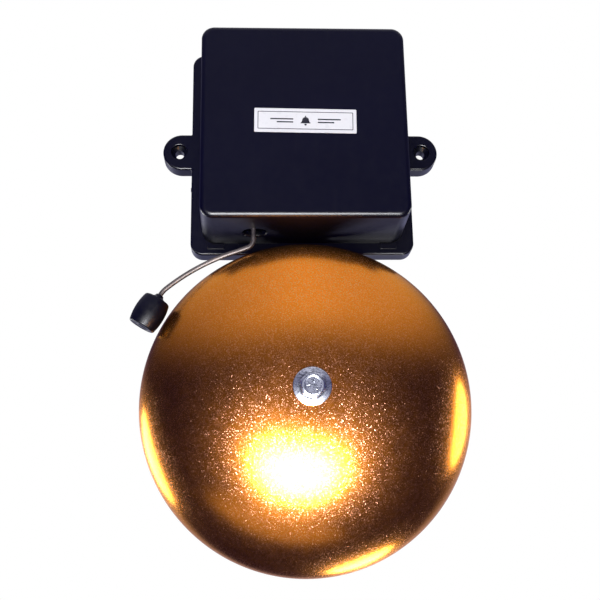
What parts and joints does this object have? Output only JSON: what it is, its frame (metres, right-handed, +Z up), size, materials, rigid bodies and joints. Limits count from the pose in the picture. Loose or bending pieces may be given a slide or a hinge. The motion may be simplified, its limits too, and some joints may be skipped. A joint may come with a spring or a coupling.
{
  "type": "fire alarm bell",
  "caption": "Wall-mounted electromechanical bell: a square moulded box over a domed gong, with a side rod and hammer swung by an electromagnet.",
  "frame": {"origin": "on the wall plane, midway between the two fixing holes in the ears", "axes": "+X to the right seen from the front, +Y into the wall, +Z up"},
  "size_m": [0.2054, 0.0918, 0.3375],
  "materials": {
    "navy_plastic": "semi-gloss moulding",
    "hammer_plastic": "satin moulding",
    "label_white": "satin film",
    "gong_bronze": "satin, gold coloured",
    "zinc_steel": "zinc plated",
    "bright_zinc": "bright zinc plated",
    "rod_steel": "drawn wire",
    "spring_steel": "drawn wire",
    "magnet_iron": "soft iron, plated",
    "brass_part": "turned",
    "bronze_part": "sintered",
    "enamelled_copper": "enamelled wire",
    "silver_contact": "polished",
    "black_rubber": "matt",
    "brown_fibre": "matt",
    "ivory_nylon": "matt",
    "grey_nylon": "matt",
    "yellow_case": "gloss",
    "red_pvc": "gloss",
    "black_pvc": "gloss",
    "green_pvc": "gloss"
  },
  "bodies": {
    "bell_body": {"base_plate": "navy_plastic", "cable_grommet": "black_rubber", "cover": "navy_plastic", "cover_screws": "zinc_steel", "label_plate": "label_white", "gong_bracket": "zinc_steel", "bracket_screws": "zinc_steel", "bracket_washers": "zinc_steel", "gong_pillar": "zinc_steel", "pillar_bolt": "zinc_steel", "pillar_washer": "zinc_steel", "gong_seat_washer": "brown_fibre", "gong": "gong_bronze", "gong_bolt": "bright_zinc", "mechanism_frame": "zinc_steel", "frame_screws": "zinc_steel", "yoke": "magnet_iron", "magnet_cores": "magnet_iron", "core_screws": "zinc_steel", "coil_bobbins": "ivory_nylon", "coil_windings": "enamelled_copper", "pivot_pin": "bright_zinc", "pivot_clip": "spring_steel", "pivot_spacer": "brass_part", "spring_post": "zinc_steel", "stop_post": "zinc_steel", "stop_buffer": "black_rubber", "return_spring": "spring_steel", "contact_insulator": "brown_fibre", "contact_post": "brass_part", "contact_post_screws": "zinc_steel", "contact_lock_nut": "zinc_steel", "terminal_block": "grey_nylon", "terminal_clamps": "brass_part", "terminal_screws": "zinc_steel", "terminal_fixings": "zinc_steel", "suppressor": "yellow_case", "lead_red": "red_pvc", "lead_black": "black_pvc", "lead_coil": "green_pvc"},
    "striker": {"armature": "magnet_iron", "pivot_bush": "bronze_part", "rod_clamp": "brass_part", "clamp_rivets": "zinc_steel", "clamp_set_screws": "spring_steel", "contact_leaf": "bronze_part", "contact_tip": "silver_contact", "leaf_clip": "brass_part", "leaf_screws": "zinc_steel", "striker_rod": "rod_steel", "hammer": "hammer_plastic"},
    "contact_stud_body": {"contact_stud": "silver_contact"},
    "contact_screw_body": {"contact_screw": "brass_part"}
  },
  "joints": [
    {"name": "striker_swing", "type": "hinge", "parent": "bell_body", "child": "striker", "pos_m": [-0.026, -0.03, 0.001], "axis": [0, -1, 0], "range_deg": [-1.6, 0.45], "stiffness_Nm_per_rad": 1.2, "deforming": ["return_spring", "contact_leaf", "contact_tip"]},
    {"name": "contact_screw_travel", "type": "slide", "parent": "bell_body", "child": "contact_stud_body", "axis": [1, 0, 0], "range_m": [0, 0.0007], "stiffness_N_per_m": 2000},
    {"name": "contact_screw_turn", "type": "hinge", "parent": "contact_stud_body", "child": "contact_screw_body", "pos_m": [0, -0.03, 0.024], "axis": [1, 0, 0], "range_deg": [0, 360]}
  ],
  "couplings": [
    {"joint": "contact_screw_turn", "follows": "contact_screw_travel", "rad_per_m": 8976}
  ]
}
